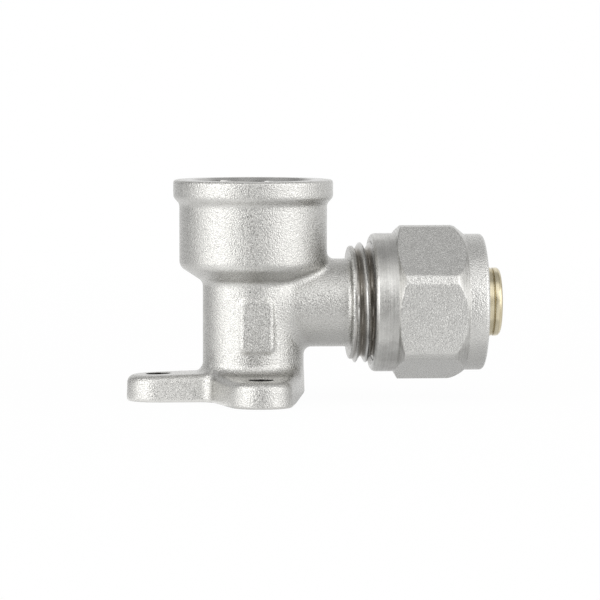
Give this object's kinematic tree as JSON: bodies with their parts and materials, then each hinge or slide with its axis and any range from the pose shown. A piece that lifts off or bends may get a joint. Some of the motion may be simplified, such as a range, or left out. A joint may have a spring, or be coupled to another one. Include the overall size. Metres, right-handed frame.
{
  "type": "wall plate elbow",
  "caption": "Nickel-plated wall plate elbow: a threaded socket on an eared wall plate, with a side branch, compression nut, split ring and pipe insert.",
  "frame": {"origin": "on the axis of the threaded socket, in the face of the plate that meets the wall", "axes": "+Z points away from the wall along the socket and out of its mouth, +X along the branch and out of the pipe end"},
  "size_m": [0.065, 0.044, 0.0382],
  "materials": {
    "forged_nickel": "nickel-plated, sand-blasted forging",
    "turned_nickel": "nickel-plated, turned and blasted",
    "ring_brass": "turned",
    "insert_brass": "turned, satin",
    "seal_rubber": "moulded, smooth",
    "washer_plastic": "moulded, matt"
  },
  "bodies": {
    "elbow": {"elbow_body": "forged_nickel", "pipe_insert": "insert_brass", "seat_seal": "seal_rubber", "tail_seal_inner": "seal_rubber", "tail_seal_outer": "seal_rubber", "insulating_washer": "washer_plastic"},
    "ring": {"split_ring": "ring_brass"},
    "nut": {"compression_nut": "turned_nickel"}
  },
  "joints": [
    {"name": "nut_travel", "type": "slide", "parent": "elbow", "child": "ring", "axis": [1, 0, 0], "range_m": [-0.00091, 0.00545]},
    {"name": "nut_turn", "type": "hinge", "parent": "ring", "child": "nut", "pos_m": [0.03, 0, 0.0168], "axis": [1, 0, 0], "range_deg": [-180, 1080]}
  ],
  "couplings": [
    {"joint": "nut_travel", "follows": "nut_turn", "m_per_rad": 0.00028871}
  ]
}
